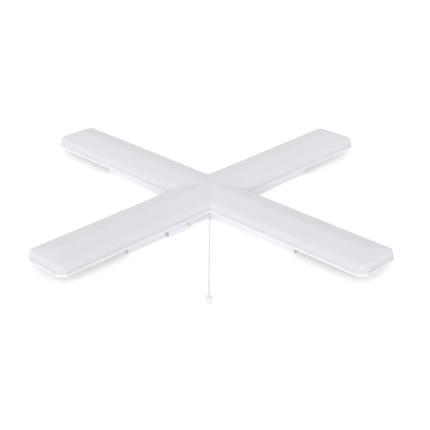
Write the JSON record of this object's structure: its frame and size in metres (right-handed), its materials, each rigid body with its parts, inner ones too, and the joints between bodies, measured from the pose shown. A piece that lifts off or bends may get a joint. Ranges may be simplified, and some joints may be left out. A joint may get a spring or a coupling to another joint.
{
  "type": "cross-shaped ceiling light",
  "caption": "Slim cross-shaped ceiling light with an opal lift-off cover over LED boards, a folded steel tray, a back channel and a pull cord switch.",
  "frame": {"origin": "centre of the cross on the mounting face, which the light lies on", "axes": "+Z out of the ceiling towards the cover's crown; the arms lie along X and Y; the pull cord leaves between the -X and -Y arms"},
  "size_m": [1, 1, 0.057],
  "materials": {
    "white_steel": "white powder coat on folded steel sheet",
    "opal_cover": "milky satin diffuser plastic",
    "white_board": "aluminium board with white solder mask",
    "led_phosphor": "yellow phosphor in a white package",
    "zinc_screw": "bright zinc plate",
    "brass_screw": "plain brass",
    "spring_steel": "bright spring steel",
    "white_nylon": "natural white nylon",
    "switch_plastic": "moulded white plastic",
    "driver_plastic": "moulded white plastic",
    "lead_sheath": "white flexible sheath",
    "black_rubber": "soft black rubber",
    "white_cord": "fine white braid",
    "clear_white_knob": "translucent white plastic"
  },
  "bodies": {
    "fixture": {"back_channel": "white_steel", "base_tray": "white_steel", "tray_screws": "zinc_screw", "board_plugs": "white_nylon", "board_screws": "zinc_screw", "cover_clips": "spring_steel", "clip_rivets": "zinc_screw", "cable_grommet": "black_rubber", "lead_grommet": "black_rubber", "led_driver": "driver_plastic", "driver_screws": "zinc_screw", "board_leads": "lead_sheath", "terminal_block": "white_nylon", "terminal_screws": "brass_screw", "earth_screw": "brass_screw", "wiring_cover": "white_steel", "wiring_cover_screws": "zinc_screw", "switch_case": "switch_plastic", "switch_nut": "switch_plastic", "led_board_back_right": "white_board", "leds_back_right": "led_phosphor", "led_board_back_left": "white_board", "leds_back_left": "led_phosphor", "led_board_front_left": "white_board", "leds_front_left": "led_phosphor", "led_board_front_right": "white_board", "leds_front_right": "led_phosphor"},
    "cover": {"diffuser_cover": "opal_cover"},
    "pull": {"switch_plunger": "white_nylon", "pull_cord": "white_cord", "pull_knob": "clear_white_knob"}
  },
  "joints": [
    {"name": "cover_lift", "type": "slide", "parent": "fixture", "child": "cover", "axis": [0, 0, 1], "range_m": [0, 0.04]},
    {"name": "cord_pull", "type": "slide", "parent": "fixture", "child": "pull", "axis": [-0.7071, -0.7071, 0], "range_m": [0, 0.006], "stiffness_N_per_m": 600}
  ]
}
